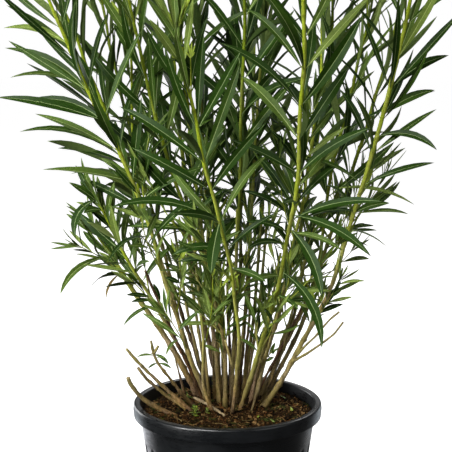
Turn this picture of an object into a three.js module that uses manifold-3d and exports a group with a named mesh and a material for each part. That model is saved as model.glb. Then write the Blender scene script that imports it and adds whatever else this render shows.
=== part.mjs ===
// A potted oleander: a clump of canes rising from the soil of a black nursery pot, most of them
// ending in a tall plume of long narrow leaves. Millimetres, +Z up, -Y is the front. The origin is
// the middle of the pot's flat underside.
import * as THREE from 'three';
import Module from 'manifold-3d';

const wasm = await Module();
wasm.setup();

// ---------------------------------------------------------------- driving dimensions

const GAP = 0.3;                  // clearance between pieces that rest on each other

const POT_HEIGHT = 270;
const BASE_RADIUS = 114;
const WALL_RADIUS = 148;          // outside of the wall, just under the rim
const RIM_RADIUS = 160;
const RIM_DEPTH = 23;
const RIM_ROLL = 6;               // radius of the rounded top edge
const WALL_THICKNESS = 3.5;
const FLOOR_THICKNESS = 5;
const FLUTE_COUNT = 24;           // upright grooves round the wall
const FLUTE_DEPTH = 2.5;
const FLUTE_TOP = 200;
const FLUTE_BOTTOM = 14;
const DRAIN_COUNT = 6;
const DRAIN_RADIUS = 8;
const DRAIN_CIRCLE = 80;

const SOIL_TOP = 253;
const SOIL_EDGE_DROP = 2;         // the soil sinks a little towards the wall

const CANE_SIDES = 8;
const ROOT_FLARE = 0.22;          // extra girth at the soil, as a share of the cane's radius
const FLARE_HEIGHT = 14;
const CANE_TAPER = 0.68;          // radius at the leaves, as a share of the radius at the soil

const LEVEL_STEP = 70;            // all plumes are shaped on the same stack of level sections
const PLUME_START = 540;          // height at which the leaders' long leaves begin
const PLUME_RADIUS = 112;         // reach of the long leaves from their cane
const PLUME_OVERSHOOT = 95;       // the youngest leaves stand above the growing tip
const PLUME_DIRECTIONS = 10;
const PLUME_GAP = 7;              // open slit between two neighbouring plumes

// Canes that carry a plume. foot: place on the soil; tip: growing point; bow: how far the middle
// of the cane stands off the straight line; wave: sideways S-bend; girth: radius at the soil.
const LEADERS = [
  { name: 'left_front', foot: [-34, 26], tip: [-285, -150, 1000], bow: [0, -5], wave: 5, girth: 4.4 },
  { name: 'left_inner', foot: [-4, 6], tip: [-160, -85, 960], bow: [10, 5], wave: 20, girth: 4.0 },
  { name: 'front_left', foot: [8, -25], tip: [-65, -250, 900], bow: [25, -5], wave: 10, girth: 3.6 },
  { name: 'front_right', foot: [24, 6], tip: [110, -245, 1060], bow: [40, 0], wave: 0, girth: 4.4 },
  { name: 'right_front', foot: [62, 8], tip: [290, -130, 1030], bow: [50, -5], wave: 10, girth: 4.7,
    reach: 100 },
  { name: 'right', foot: [60, 32], tip: [245, 40, 910], bow: [20, 5], wave: 15, girth: 4.0 },
  { name: 'centre_right', foot: [42, -12], tip: [150, 40, 1075], bow: [40, 0], wave: -5, girth: 3.6 },
  { name: 'centre', foot: [18, 34], tip: [25, -60, 1130], bow: [5, 15], wave: -10, girth: 4.4 },
  { name: 'centre_left', foot: [-14, 36], tip: [-95, 60, 1090], bow: [-5, 0], wave: 5, girth: 4.0 },
  { name: 'centre_back', foot: [6, 62], tip: [30, 160, 1120], bow: [5, 10], wave: 5, girth: 4.4 },
  { name: 'left_side', foot: [-52, 95], tip: [-300, 60, 990], bow: [15, 10], wave: 5, girth: 4.0 },
  { name: 'left_back', foot: [-34, 96], tip: [-225, 230, 950], bow: [-15, 0], wave: 0, girth: 4.0 },
  { name: 'back_left', foot: [-14, 90], tip: [-105, 325, 1010], bow: [-20, 20], wave: -5, girth: 5.1 },
  { name: 'back', foot: [20, 98], tip: [55, 340, 960], bow: [5, 20], wave: 5, girth: 4.0 },
  { name: 'back_right', foot: [40, 56], tip: [190, 270, 1020], bow: [35, 0], wave: 0, girth: 4.0 },
  { name: 'right_back', foot: [58, 78], tip: [310, 170, 960], bow: [25, 15], wave: 5, girth: 4.4 },
  { name: 'left_low', foot: [-52, 79], tip: [-232, 58, 570], bow: [2, 0], wave: 5, girth: 4.2, start: 470,
    reach: 62, overshoot: 55 },
  { name: 'left_low_front', foot: [-37, 63], tip: [-215, -44, 630], bow: [0, 0], wave: 3, girth: 3.8,
    start: 470, reach: 66, overshoot: 60 },
];

// Canes with no plume: two dead ones, a young one, thin ones that stand among the leaders, and
// pruned stumps that lean out over the rim on the left.
const BARE_CANES = [
  { name: 'dead_left', foot: [-42, 46], tip: [-136, -30, 500], bow: [0, 0], wave: 0, girth: 4.8, end: 3.4 },
  { name: 'dead_right', foot: [40, 16], tip: [128, 30, 425], bow: [0, 0], wave: 0, girth: 2.8, end: 2.0 },
  { name: 'young_front', foot: [-26, -10], tip: [-44, -56, 432], bow: [-7, 0], wave: -2, girth: 3.0, end: 2.0 },
  { name: 'thin_left', foot: [-20, 78], tip: [-24, 116, 491], bow: [-2, -3], wave: 0, girth: 2.8, end: 1.8 },
  { name: 'thin_middle', foot: [6, 83], tip: [1, 151, 528], bow: [-1, -1], wave: 0, girth: 3.0, end: 1.8 },
  { name: 'thin_centre', foot: [39, 35], tip: [92, 34, 518], bow: [2, 3], wave: 0, girth: 3.0, end: 1.8 },
  { name: 'thin_back', foot: [27, 78], tip: [38, 132, 508], bow: [5, 1], wave: 0, girth: 2.8, end: 1.8 },
  { name: 'thin_back_right', foot: [37, 87], tip: [103, 148, 499], bow: [2, -4], wave: 0, girth: 2.6, end: 1.8 },
  { name: 'thin_right', foot: [66, 55], tip: [140, 82, 512], bow: [1, 3], wave: 0, girth: 2.8, end: 1.8 },
  { name: 'stump_front', foot: [-94, -28], tip: [-166, -46, 323], bow: [-16, 0], wave: 0, girth: 3.8, end: 3.2 },
  { name: 'stump_middle', foot: [-64, -8], tip: [-169, -20, 365], bow: [-3, 0], wave: 0, girth: 3.8, end: 3.0 },
  { name: 'stump_upper', foot: [-55, 10], tip: [-130, 4, 373], bow: [-5, 0], wave: 0, girth: 3.6, end: 2.4 },
  { name: 'stump_back', foot: [-76, 92], tip: [-94, 98, 335], bow: [-2, 0], wave: 0, girth: 2.2, end: 1.6 },
];

// Small tufts of short leaves on side shoots, low on the named cane.
const TUFTS = [
  { name: 'low_front', cane: 'front_right', height: 430, aside: [-14, -28], reach: 34, tall: 56 },
  { name: 'low_centre', cane: 'left_inner', height: 470, aside: [10, -26], reach: 32, tall: 56 },
  { name: 'low_left', cane: 'left_front', height: 412, aside: [-6, -28], reach: 34, tall: 46 },
  { name: 'low_right', cane: 'right_front', height: 470, aside: [16, -12], reach: 42, tall: 54 },
  { name: 'low_back_left', cane: 'back_left', height: 470, aside: [-20, 28], reach: 46, tall: 58 },
  { name: 'low_back_right', cane: 'back_right', height: 465, aside: [22, 26], reach: 46, tall: 58 },
  { name: 'on_stump', cane: 'stump_upper', height: 352, aside: [-12, -4], reach: 24, tall: 22 },
];

// ---------------------------------------------------------------- materials

const surface = (color, roughness) => new THREE.MeshStandardMaterial({ color, roughness, metalness: 0 });
const blackPlastic = surface(0x1b1e20, 0.35);
const pottingSoil = surface(0x3d2f1c, 0.95);
const caneBark = surface(0x84734f, 0.8);
const deadBark = surface(0x6f5b45, 0.85);
const foliage = surface(0x3f5a2e, 0.6);
const youngFoliage = surface(0x5d7a3a, 0.6);

// ---------------------------------------------------------------- solids from rings

// A closed solid skinned over a stack of rings of equal count, from a bottom point to a top point.
function skin(bottomPoint, rings, topPoint) {
  const count = rings[0].length;
  const points = [bottomPoint, ...rings.flat(), topPoint];
  const last = points.length - 1;
  const at = (ring, k) => 1 + ring * count + (k % count);
  const faces = [];
  for (let k = 0; k < count; k += 1) {
    faces.push(0, at(0, k + 1), at(0, k));
    for (let ring = 0; ring + 1 < rings.length; ring += 1) {
      faces.push(at(ring, k), at(ring, k + 1), at(ring + 1, k));
      faces.push(at(ring, k + 1), at(ring + 1, k + 1), at(ring + 1, k));
    }
    faces.push(at(rings.length - 1, k), at(rings.length - 1, k + 1), last);
  }
  const geometry = new THREE.BufferGeometry();
  geometry.setAttribute('position', new THREE.Float32BufferAttribute(points.flatMap((p) => p.toArray()), 3));
  geometry.setIndex(faces);
  return geometry;
}

function toManifold(geometry) {
  const vertProperties = new Float32Array(geometry.attributes.position.array);
  const triVerts = new Uint32Array(geometry.index.array);
  return new wasm.Manifold(new wasm.Mesh({ numProp: 3, vertProperties, triVerts }));
}

function toGeometry(solid) {
  const mesh = solid.getMesh();
  const geometry = new THREE.BufferGeometry();
  geometry.setAttribute('position', new THREE.BufferAttribute(mesh.vertProperties, 3));
  geometry.setIndex(new THREE.BufferAttribute(mesh.triVerts, 1));
  return geometry;
}

// Cuts from a solid every cutter whose box reaches into the solid's box.
function cutAway(geometry, cutters) {
  geometry.computeBoundingBox();
  const near = cutters.filter((cutter) => {
    cutter.computeBoundingBox();
    return cutter.boundingBox.intersectsBox(geometry.boundingBox);
  });
  if (near.length === 0) return geometry;
  return toGeometry(near.reduce((solid, cutter) => solid.subtract(toManifold(cutter)), toManifold(geometry)));
}

// ---------------------------------------------------------------- canes

// Centre line of a cane: t runs from 0 at the soil to 1 at the tip, evenly in height.
function canePoint(cane, t) {
  const foot = new THREE.Vector3(cane.foot[0], cane.foot[1], SOIL_TOP + GAP);
  const point = foot.lerp(new THREE.Vector3(...cane.tip), t);
  const arch = Math.sin(Math.PI * t);
  point.x += cane.bow[0] * arch + cane.wave * Math.sin(2 * Math.PI * t);
  point.y += cane.bow[1] * arch;
  return point;
}

const heightShare = (cane, height) => (height - SOIL_TOP - GAP) / (cane.tip[2] - SOIL_TOP - GAP);

function caneTangent(cane, t) {
  const step = 0.01;
  return canePoint(cane, t + step).sub(canePoint(cane, t - step)).normalize();
}

// One tapering limb from the soil to the share tEnd of its cane. Its foot is cut level with the
// soil; its end is level where leaves take over (levelEnd), or square across the cane. With extra
// it is that much fatter and longer, to cut room for the cane out of a mass of leaves.
function limb(cane, tEnd, endRadius, levelEnd, extra = 0) {
  const shares = [0, 0.04, 0.12, 0.32, 0.55, 0.78, 1];
  const reach = tEnd + (2 * extra) / (cane.tip[2] - SOIL_TOP);
  const rings = shares.map((share) => {
    const t = share * reach;
    const centre = canePoint(cane, t);
    const along = caneTangent(cane, t);
    const across = new THREE.Vector3(1, 0, 0).addScaledVector(along, -along.x).normalize();
    const beside = along.clone().cross(across);
    const flare = cane.girth * ROOT_FLARE * Math.exp(-(centre.z - SOIL_TOP) / FLARE_HEIGHT);
    const radius = THREE.MathUtils.lerp(cane.girth, endRadius, share) + flare + extra;
    const isLevel = centre.z - SOIL_TOP < 2 * radius || (share === 1 && levelEnd);
    return Array.from({ length: CANE_SIDES }, (_, k) => {
      const angle = (2 * Math.PI * k) / CANE_SIDES;
      const point = centre.clone()
        .addScaledVector(across, radius * Math.cos(angle))
        .addScaledVector(beside, radius * Math.sin(angle));
      if (isLevel) point.addScaledVector(along, (centre.z - point.z) / along.z);
      return point;
    });
  });
  return skin(canePoint(cane, 0), rings, canePoint(cane, reach));
}

const plumeStart = (cane) => cane.start ?? PLUME_START;
const leaderEnd = (cane) => heightShare(cane, plumeStart(cane) - GAP);
const leaderLimb = (cane, extra) => limb(cane, leaderEnd(cane), cane.girth * CANE_TAPER, true, extra);
const bareLimb = (cane, extra) => limb(cane, 1, cane.end, false, extra);

// ---------------------------------------------------------------- plumes of leaves

const plumeReach = (cane) => cane.reach ?? PLUME_RADIUS;
const plumeTop = (cane) => cane.tip[2] + (cane.overshoot ?? PLUME_OVERSHOOT);

// Reach of a plume's leaves, as a share of their length, from its foot (0) to its top (1).
function plumeOutline(share) {
  const spread = 0.62 + 0.38 * Math.sin(Math.min(share / 0.35, 1) * Math.PI * 0.5);
  const closing = Math.max(0, (share - 0.45) / 0.55);
  return spread * (1 - 0.86 * closing ** 1.5);
}

// Uneven lobes that differ from plume to plume and turn with height.
function lobes(seed, angle, height) {
  const turn = seed * 2.4 + height / 90;
  return 1 + 0.13 * Math.sin(3 * angle + turn) + 0.09 * Math.sin(5 * angle - 1.7 * turn);
}

// Centre of a plume at a height: on its cane, and straight on above the growing tip.
function plumeCentre(cane, height) {
  const t = heightShare(cane, height);
  if (t <= 1) return canePoint(cane, t);
  const tip = canePoint(cane, 1);
  const along = caneTangent(cane, 1);
  return tip.addScaledVector(along, (height - tip.z) / along.z);
}

// Room that a plume has at a height in one direction before it meets the plane midway
// to a neighbour, shared out by their reach.
function roomTowards(cane, centre, angle, height) {
  let room = Infinity;
  for (const other of LEADERS) {
    const present = height >= plumeStart(other) - 1 && height < plumeTop(other) + LEVEL_STEP;
    if (other === cane || !present) continue;
    const offset = plumeCentre(other, height).sub(centre);
    const distance = Math.hypot(offset.x, offset.y);
    const facing = (Math.cos(angle) * offset.x + Math.sin(angle) * offset.y) / distance;
    const share = plumeReach(cane) / (plumeReach(cane) + plumeReach(other));
    if (facing > 0.05) room = Math.min(room, (distance * share - PLUME_GAP / 2) / facing);
  }
  return room;
}

function plume(cane, seed) {
  const start = plumeStart(cane);
  const top = plumeTop(cane);
  const rings = [];
  for (let height = start; height < top - LEVEL_STEP * 0.3; height += LEVEL_STEP) {
    const centre = plumeCentre(cane, height);
    const outline = plumeReach(cane) * plumeOutline((height - start) / (top - start));
    rings.push(Array.from({ length: PLUME_DIRECTIONS }, (_, k) => {
      const angle = (2 * Math.PI * k) / PLUME_DIRECTIONS + seed;
      const radius = Math.min(outline * lobes(seed, angle, height), roomTowards(cane, centre, angle, height));
      return new THREE.Vector3(
        centre.x + radius * Math.cos(angle),
        centre.y + radius * Math.sin(angle),
        height,
      );
    }));
  }
  return skin(plumeCentre(cane, start), rings, plumeCentre(cane, top));
}

// ---------------------------------------------------------------- tufts on side shoots

const TUFT_DIRECTIONS = 9;
const TUFT_TURNS = [-0.6, 0, 0.6];      // latitudes of the tuft's rings, in right angles

function tuft(row, seed) {
  const carrier = [...LEADERS, ...BARE_CANES].find((cane) => cane.name === row.cane);
  const centre = canePoint(carrier, heightShare(carrier, row.height));
  centre.x += row.aside[0];
  centre.y += row.aside[1];
  const rings = TUFT_TURNS.map((turn) => {
    const latitude = (turn * Math.PI) / 2;
    return Array.from({ length: TUFT_DIRECTIONS }, (_, k) => {
      const angle = (2 * Math.PI * k) / TUFT_DIRECTIONS;
      const radius = row.reach * Math.cos(latitude) * lobes(seed, angle, 80 * turn);
      return new THREE.Vector3(
        centre.x + radius * Math.cos(angle),
        centre.y + radius * Math.sin(angle),
        centre.z + row.tall * Math.sin(latitude),
      );
    });
  });
  const pole = (side) => centre.clone().add(new THREE.Vector3(0, 0, side * row.tall));
  return skin(pole(-1), rings, pole(1));
}

// ---------------------------------------------------------------- pot and soil

const wallSlope = (WALL_RADIUS - BASE_RADIUS) / (POT_HEIGHT - RIM_DEPTH);
const outerRadius = (height) => BASE_RADIUS + wallSlope * height;
const innerRadius = (height) => outerRadius(height) - WALL_THICKNESS;

// Quarter round between two angles, as profile points of a lathe.
function arc(radius, height, size, from, to, steps) {
  return Array.from({ length: steps + 1 }, (_, k) => {
    const angle = THREE.MathUtils.degToRad(from + ((to - from) * k) / steps);
    return new THREE.Vector2(radius + size * Math.cos(angle), height + size * Math.sin(angle));
  });
}

// Turns a profile round the upright axis; it starts and ends on that axis.
function turned(profile, columns) {
  const rings = profile.slice(1, -1).map((point) => Array.from({ length: columns }, (_, k) => {
    const angle = (2 * Math.PI * k) / columns;
    return new THREE.Vector3(point.x * Math.cos(angle), point.x * Math.sin(angle), point.y);
  }));
  const onAxis = (point) => new THREE.Vector3(0, 0, point.y);
  return skin(onAxis(profile[0]), rings, onAxis(profile.at(-1)));
}

function pot() {
  const columns = FLUTE_COUNT * 2;
  const rimFoot = POT_HEIGHT - RIM_DEPTH;
  const profile = [
    new THREE.Vector2(0, 0),
    new THREE.Vector2(BASE_RADIUS - 2, 0),
    new THREE.Vector2(outerRadius(3), 3),
    new THREE.Vector2(outerRadius(FLUTE_BOTTOM - 4), FLUTE_BOTTOM - 4),
    new THREE.Vector2(outerRadius(FLUTE_BOTTOM), FLUTE_BOTTOM),
    new THREE.Vector2(outerRadius(FLUTE_TOP), FLUTE_TOP),
    new THREE.Vector2(outerRadius(FLUTE_TOP + 6), FLUTE_TOP + 6),
    new THREE.Vector2(WALL_RADIUS, rimFoot),
    new THREE.Vector2(RIM_RADIUS - 2, rimFoot),
    new THREE.Vector2(RIM_RADIUS, rimFoot + 2),
    ...arc(RIM_RADIUS - RIM_ROLL, POT_HEIGHT - RIM_ROLL, RIM_ROLL, 0, 90, 3),
    ...arc(innerRadius(POT_HEIGHT) + RIM_ROLL, POT_HEIGHT - RIM_ROLL, RIM_ROLL, 90, 180, 2),
    new THREE.Vector2(innerRadius(FLOOR_THICKNESS), FLOOR_THICKNESS),
    new THREE.Vector2(0, FLOOR_THICKNESS),
  ];
  const shell = turned(profile, columns);
  const position = shell.attributes.position;
  const point = new THREE.Vector3();
  for (let index = 0; index < position.count; index += 1) {
    point.fromBufferAttribute(position, index);
    const radius = Math.hypot(point.x, point.y);
    const column = Math.round((Math.atan2(point.y, point.x) / (2 * Math.PI)) * columns);
    const onFlute = point.z >= FLUTE_BOTTOM && point.z <= FLUTE_TOP && column % 2 !== 0;
    if (onFlute && radius > outerRadius(point.z) - 1) {
      const scale = (radius - FLUTE_DEPTH) / radius;
      position.setXY(index, point.x * scale, point.y * scale);
    }
  }
  return cutAway(shell, drains());
}

// Upright cylinders through the floor, all round it but not in its middle.
function drains() {
  return Array.from({ length: DRAIN_COUNT }, (_, k) => {
    const angle = (2 * Math.PI * (k + 0.5)) / DRAIN_COUNT;
    const rim = (height) => [new THREE.Vector2(DRAIN_RADIUS, height)];
    const profile = [new THREE.Vector2(0, -5), ...rim(-5), ...rim(FLOOR_THICKNESS + 5)];
    const cylinder = turned([...profile, new THREE.Vector2(0, FLOOR_THICKNESS + 5)], 12);
    return cylinder.translate(DRAIN_CIRCLE * Math.cos(angle), DRAIN_CIRCLE * Math.sin(angle), 0);
  });
}

function soil() {
  const bottom = FLOOR_THICKNESS + GAP;
  const edge = SOIL_TOP - SOIL_EDGE_DROP;
  const levelRadius = 108;
  return turned([
    new THREE.Vector2(0, bottom),
    new THREE.Vector2(innerRadius(bottom) - GAP, bottom),
    new THREE.Vector2(innerRadius(edge) - GAP, edge),
    new THREE.Vector2(levelRadius + 20, SOIL_TOP - 1.2),
    new THREE.Vector2(levelRadius, SOIL_TOP),
    new THREE.Vector2(0, SOIL_TOP),
  ], FLUTE_COUNT * 2);
}

// ---------------------------------------------------------------- assembly

const oleander = new THREE.Group();

function addPiece(name, geometry, material) {
  geometry.computeVertexNormals();
  const mesh = new THREE.Mesh(geometry, material);
  mesh.name = name;
  oleander.add(mesh);
}

const clearance = GAP + 0.15;
const caneCutters = [
  ...LEADERS.map((cane) => ({ name: cane.name, geometry: leaderLimb(cane, clearance) })),
  ...BARE_CANES.map((cane) => ({ name: cane.name, geometry: bareLimb(cane, clearance) })),
];

addPiece('pot', pot(), blackPlastic);
addPiece('soil', soil(), pottingSoil);
for (const cane of LEADERS) addPiece(`cane_${cane.name}`, leaderLimb(cane, 0), caneBark);
for (const cane of BARE_CANES) {
  addPiece(`cane_${cane.name}`, bareLimb(cane, 0), cane.name.startsWith('dead') ? deadBark : caneBark);
}
LEADERS.forEach((cane, index) => {
  const others = caneCutters.filter((cutter) => cutter.name !== cane.name).map((cutter) => cutter.geometry);
  addPiece(`leaves_${cane.name}`, cutAway(plume(cane, index + 1), others), foliage);
});
TUFTS.forEach((row, index) => {
  const canes = caneCutters.map((cutter) => cutter.geometry);
  addPiece(`leaves_${row.name}`, cutAway(tuft(row, index + 1), canes), youngFoliage);
});

export default oleander;
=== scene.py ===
"""Looks of the potted oleander: canes with bark, whorls of long leaves, soil and a black nursery pot,
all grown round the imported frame."""
from collections import namedtuple
from math import copysign, cos, pi, radians, sin

import bpy
import numpy as np
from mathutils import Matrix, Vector
from numpy.linalg import norm
from numpy.random import default_rng


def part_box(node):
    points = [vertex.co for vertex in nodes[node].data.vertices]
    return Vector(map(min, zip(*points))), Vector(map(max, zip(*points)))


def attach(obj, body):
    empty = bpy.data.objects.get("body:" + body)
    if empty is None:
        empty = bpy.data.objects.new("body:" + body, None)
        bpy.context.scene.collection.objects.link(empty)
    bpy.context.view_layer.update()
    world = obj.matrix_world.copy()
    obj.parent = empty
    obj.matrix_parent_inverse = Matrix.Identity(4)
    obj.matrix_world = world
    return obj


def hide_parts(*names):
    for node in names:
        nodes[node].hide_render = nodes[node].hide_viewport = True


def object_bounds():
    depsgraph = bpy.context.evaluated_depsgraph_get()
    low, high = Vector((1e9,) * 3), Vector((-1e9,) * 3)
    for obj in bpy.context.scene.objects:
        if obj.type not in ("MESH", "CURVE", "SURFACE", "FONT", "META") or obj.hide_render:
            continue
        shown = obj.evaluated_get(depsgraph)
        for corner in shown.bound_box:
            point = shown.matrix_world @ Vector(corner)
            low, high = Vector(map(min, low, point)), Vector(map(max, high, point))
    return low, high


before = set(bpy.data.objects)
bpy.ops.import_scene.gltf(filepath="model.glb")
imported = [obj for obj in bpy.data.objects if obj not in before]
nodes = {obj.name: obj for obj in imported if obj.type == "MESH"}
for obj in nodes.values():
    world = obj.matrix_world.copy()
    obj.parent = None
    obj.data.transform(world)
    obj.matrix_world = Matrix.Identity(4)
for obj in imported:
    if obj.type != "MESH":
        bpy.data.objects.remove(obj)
cad_box = [list(corner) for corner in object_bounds()]

MM = 0.001
TAU = 2 * pi
UP = np.array([0.0, 0.0, 1.0])
RIM_RADIUS, _, POT_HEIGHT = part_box("pot")[1]
SOIL_RADIUS, _, SOIL_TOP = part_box("soil")[1]

# ---- vectors and meshes


def unit(v):
    return v / norm(v, axis=-1, keepdims=True)


def smooth(x):
    x = np.clip(x, 0.0, 1.0)
    return x * x * (3 - 2 * x)


def turn(vectors, axes, angles):
    """Turns vectors about unit axes (Rodrigues), row by row."""
    c = np.cos(angles)[..., None]
    s = np.sin(angles)[..., None]
    along = np.sum(vectors * axes, axis=-1, keepdims=True)
    return vectors * c + np.cross(axes, vectors) * s + axes * along * (1 - c)


def wobble(points, scale, seed):
    """Smooth noise of about unit size at an array of points: a few crossed sine waves."""
    rng = default_rng(seed)
    total = np.zeros(points.shape[:-1])
    for octave in range(4):
        direction = unit(rng.normal(size=3))
        wave = rng.uniform(0.7, 1.5) * TAU / scale
        total += np.sin(points @ direction * wave + rng.uniform(0, TAU))
    return total / 2


def sampled(places, at, points):
    """Points at places of a line that is known at certain ones."""
    return np.stack([np.interp(places, at, column) for column in points.T], -1)


# Faces are quads, or triangles with -1 at their end; kinds number their materials. Edges between two
# points of one column (0 or more) stay sharp.
Mesh = namedtuple("Mesh", "points faces kinds attributes columns", defaults=(None, None, None))


def make_piece(name, shape, materials, flat=False):
    faces = np.asarray(shape.faces)
    sizes = np.where(faces[:, -1] < 0, faces.shape[1] - 1, faces.shape[1])
    loops = faces[faces >= 0]
    starts = np.concatenate([[0], np.cumsum(sizes)[:-1]])
    mesh = bpy.data.meshes.new(name)
    mesh.vertices.add(len(shape.points))
    mesh.vertices.foreach_set("co", np.asarray(shape.points, np.float32).ravel())
    mesh.loops.add(len(loops))
    mesh.loops.foreach_set("vertex_index", loops.astype(np.int32))
    mesh.polygons.add(len(faces))
    mesh.polygons.foreach_set("loop_start", starts.astype(np.int32))
    if shape.kinds is not None:
        mesh.polygons.foreach_set("material_index", np.asarray(shape.kinds, np.int32))
    mesh.update(calc_edges=True)
    mesh.validate()
    mesh.shade_flat() if flat else mesh.shade_smooth()
    if shape.columns is not None:
        ends = np.empty(2 * len(mesh.edges), np.int32)
        mesh.edges.foreach_get("vertices", ends)
        first, second = shape.columns[ends.reshape(-1, 2)].T
        sharp = mesh.attributes.new("sharp_edge", "BOOLEAN", "EDGE")
        sharp.data.foreach_set("value", (first == second) & (first >= 0))
    for key, values in (shape.attributes or {}).items():
        layer = mesh.attributes.new(key, "FLOAT", "POINT")
        layer.data.foreach_set("value", np.asarray(values, np.float32))
    for material in materials:
        mesh.materials.append(material)
    piece = bpy.data.objects.new(name, mesh)
    bpy.context.collection.objects.link(piece)
    return piece


def on_root(piece, slot, *replaced):
    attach(piece, "root")
    if replaced:
        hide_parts(*replaced)


def grid_faces(rows, columns):
    """Quads of a grid of points, wrapped round its columns."""
    r, c = np.meshgrid(np.arange(rows - 1), np.arange(columns), indexing="ij")
    nxt = (c + 1) % columns
    low, high = r * columns, (r + 1) * columns
    return np.stack([low + c, low + nxt, high + nxt, high + c], -1).reshape(-1, 4)


def fan(first, second, tip):
    """Triangles from a row of edges to one point."""
    return np.stack([first, second, np.full(len(first), tip), np.full(len(first), -1)], 1)


# ---- materials

SHADER = "Principled BSDF"
# Bark values: youth, leaf scars together with painted shade near the soil, dead, and paleness together with
# painted shade on canes deep in the clump.
BARK_VALUES = ("youth", "scar_and_base_shade", "dead", "paleness_and_shade")


def new_material(name, colour, roughness, specular):
    """A material with uniform values on its shader's own sockets, and its tree."""
    material = bpy.data.materials.new(name)
    material.use_nodes = True
    inputs = material.node_tree.nodes[SHADER].inputs
    inputs["Base Color"].default_value = (*colour, 1)
    inputs["Roughness"].default_value = roughness
    inputs["Specular IOR Level"].default_value = specular
    return material, material.node_tree


def add_node(tree, kind, inputs=None, **settings):
    """A shader node; its inputs are values or sockets, by name or number."""
    node = tree.nodes.new(f"ShaderNode{kind}")
    for key, value in settings.items():
        setattr(node, key, value)
    for key, value in (inputs or {}).items():
        if isinstance(value, bpy.types.NodeSocket):
            tree.links.new(value, node.inputs[key])
        else:
            node.inputs[key].default_value = value
    return node


def ramp(tree, factor, *stops):
    """A colour ramp; stops are (position, red, green, blue)."""
    node = add_node(tree, "ValToRGB", {"Fac": factor})
    while len(node.color_ramp.elements) < len(stops):
        node.color_ramp.elements.new(0.5)
    for element, (position, *colour) in zip(node.color_ramp.elements, stops):
        element.position = position
        element.color = (*colour, 1)
    return node.outputs["Color"]


def noise(tree, scales, detail=4.0, roughness=0.6):
    """Noise in the piece's own space, scaled alike or along each axis on its own."""
    place = add_node(tree, "TexCoord").outputs["Object"]
    mapping = add_node(tree, "Mapping", {"Vector": place, "Scale": np.broadcast_to(scales, 3)})
    settings = {"Vector": mapping.outputs["Vector"], "Scale": 1.0, "Detail": detail, "Roughness": roughness}
    return add_node(tree, "TexNoise", settings).outputs["Fac"]


def remapped(tree, value, low, high, to_low=0.0, to_high=1.0):
    """A value mapped from one span to another and held inside it."""
    settings = {"Value": value, "From Min": low, "From Max": high, "To Min": to_low, "To Max": to_high}
    return add_node(tree, "MapRange", settings).outputs["Result"]


def mixed(tree, factor, first, second, blend="MIX"):
    settings = {0: factor, 6: first, 7: second}
    return add_node(tree, "Mix", settings, data_type="RGBA", blend_type=blend).outputs[2]


def times(tree, product, *colours):
    for colour in colours:
        product = mixed(tree, 1.0, product, colour, "MULTIPLY")
    return product


def textured(material, colour, bump=None, gloss=None):
    """Links a colour, a bump (height, strength, distance) and a roughness to a material's shader."""
    tree = material.node_tree
    inputs = tree.nodes[SHADER].inputs
    tree.links.new(colour, inputs["Base Color"])
    if bump is not None:
        node = add_node(tree, "Bump", dict(zip(("Height", "Strength", "Distance"), bump)))
        tree.links.new(node.outputs["Normal"], inputs["Normal"])
    if gloss is not None:
        tree.links.new(gloss, inputs["Roughness"])
    return material


def bark_material():
    """Tan bark that turns olive and then yellow green where the cane is young, darker at leaf scars, with
    painted shade near the soil and on canes deep in the clump.
    """
    material, tree = new_material("bark", (0.2, 0.15, 0.08), 0.62, 0.14)
    youth, scar_and_base_shade, dead, paleness_and_shade = [
        add_node(tree, "Attribute", attribute_name=key).outputs["Fac"] for key in BARK_VALUES]
    streaks = noise(tree, (190, 190, 16), 5.0)
    blotches = noise(tree, (22, 22, 12), 3.0)
    specks = noise(tree, (420, 420, 300), 2.0)
    patches = noise(tree, (55, 55, 9))
    tan = ramp(tree, streaks, (0.28, 0.15, 0.105, 0.06), (0.5, 0.395, 0.307, 0.2), (0.74, 0.74, 0.62, 0.45))
    grey = ramp(tree, blotches, (0.38, 0.52, 0.47, 0.42), (0.6, 1.1, 1.03, 0.95))
    # Paleness is partly the cane's own tint and partly painted shade: canes at the back of the clump get low
    # values and come out darker.
    tint_and_shade = ramp(tree, paleness_and_shade, (0.0, 0.46, 0.38, 0.34), (0.5, 0.76, 0.72, 0.70), (1.0, 1.0, 0.99, 0.98))
    flecks = ramp(tree, specks, (0.38, 0.42, 0.36, 0.30), (0.52, 1.06, 1.05, 1.04))
    rust = ramp(tree, patches, (0.44, 0.86, 0.88, 0.90), (0.60, 1.15, 0.93, 0.74))
    old = times(tree, tan, grey, tint_and_shade, flecks, rust)
    # Painted shade: olive and green bark are darkened on canes of low paleness, the ones deep in the clump.
    shaded = ramp(tree, paleness_and_shade, (0.0, 0.40, 0.46, 0.36), (0.3, 0.55, 0.60, 0.50), (0.65, 1.0, 1.0, 1.0))
    olive = times(tree, ramp(tree, streaks, (0.2, 0.18, 0.170, 0.036), (0.75, 0.45, 0.43, 0.13)), shaded)
    green = times(tree, ramp(tree, specks, (0.3, 0.185, 0.245, 0.010), (0.7, 0.325, 0.400, 0.018)), shaded)
    patchy = add_node(tree, "Math", {0: patches, 1: 0.9, 2: youth}, operation="MULTIPLY_ADD").outputs[0]
    half_green = mixed(tree, remapped(tree, patchy, 0.45, 0.95), old, olive)
    living = mixed(tree, remapped(tree, patchy, 0.95, 1.4), half_green, green)
    colour = mixed(tree, dead, living, times(tree, old, (0.62, 0.55, 0.50, 1)))
    # Leaf scars and the painted shade near the soil darken the colour.
    scarred_and_shaded = mixed(tree, scar_and_base_shade, colour, times(tree, colour, (0.38, 0.33, 0.27, 1)))
    return textured(material, scarred_and_shaded, (streaks, 0.5, 0.0006))


def cut_wood_material():
    material, tree = new_material("cut_wood", (0.42, 0.32, 0.19), 0.8, 0.3)
    grain = noise(tree, 240)
    return textured(material, ramp(tree, grain, (0.3, 0.13, 0.090, 0.044), (0.7, 0.40, 0.31, 0.17)))


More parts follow.
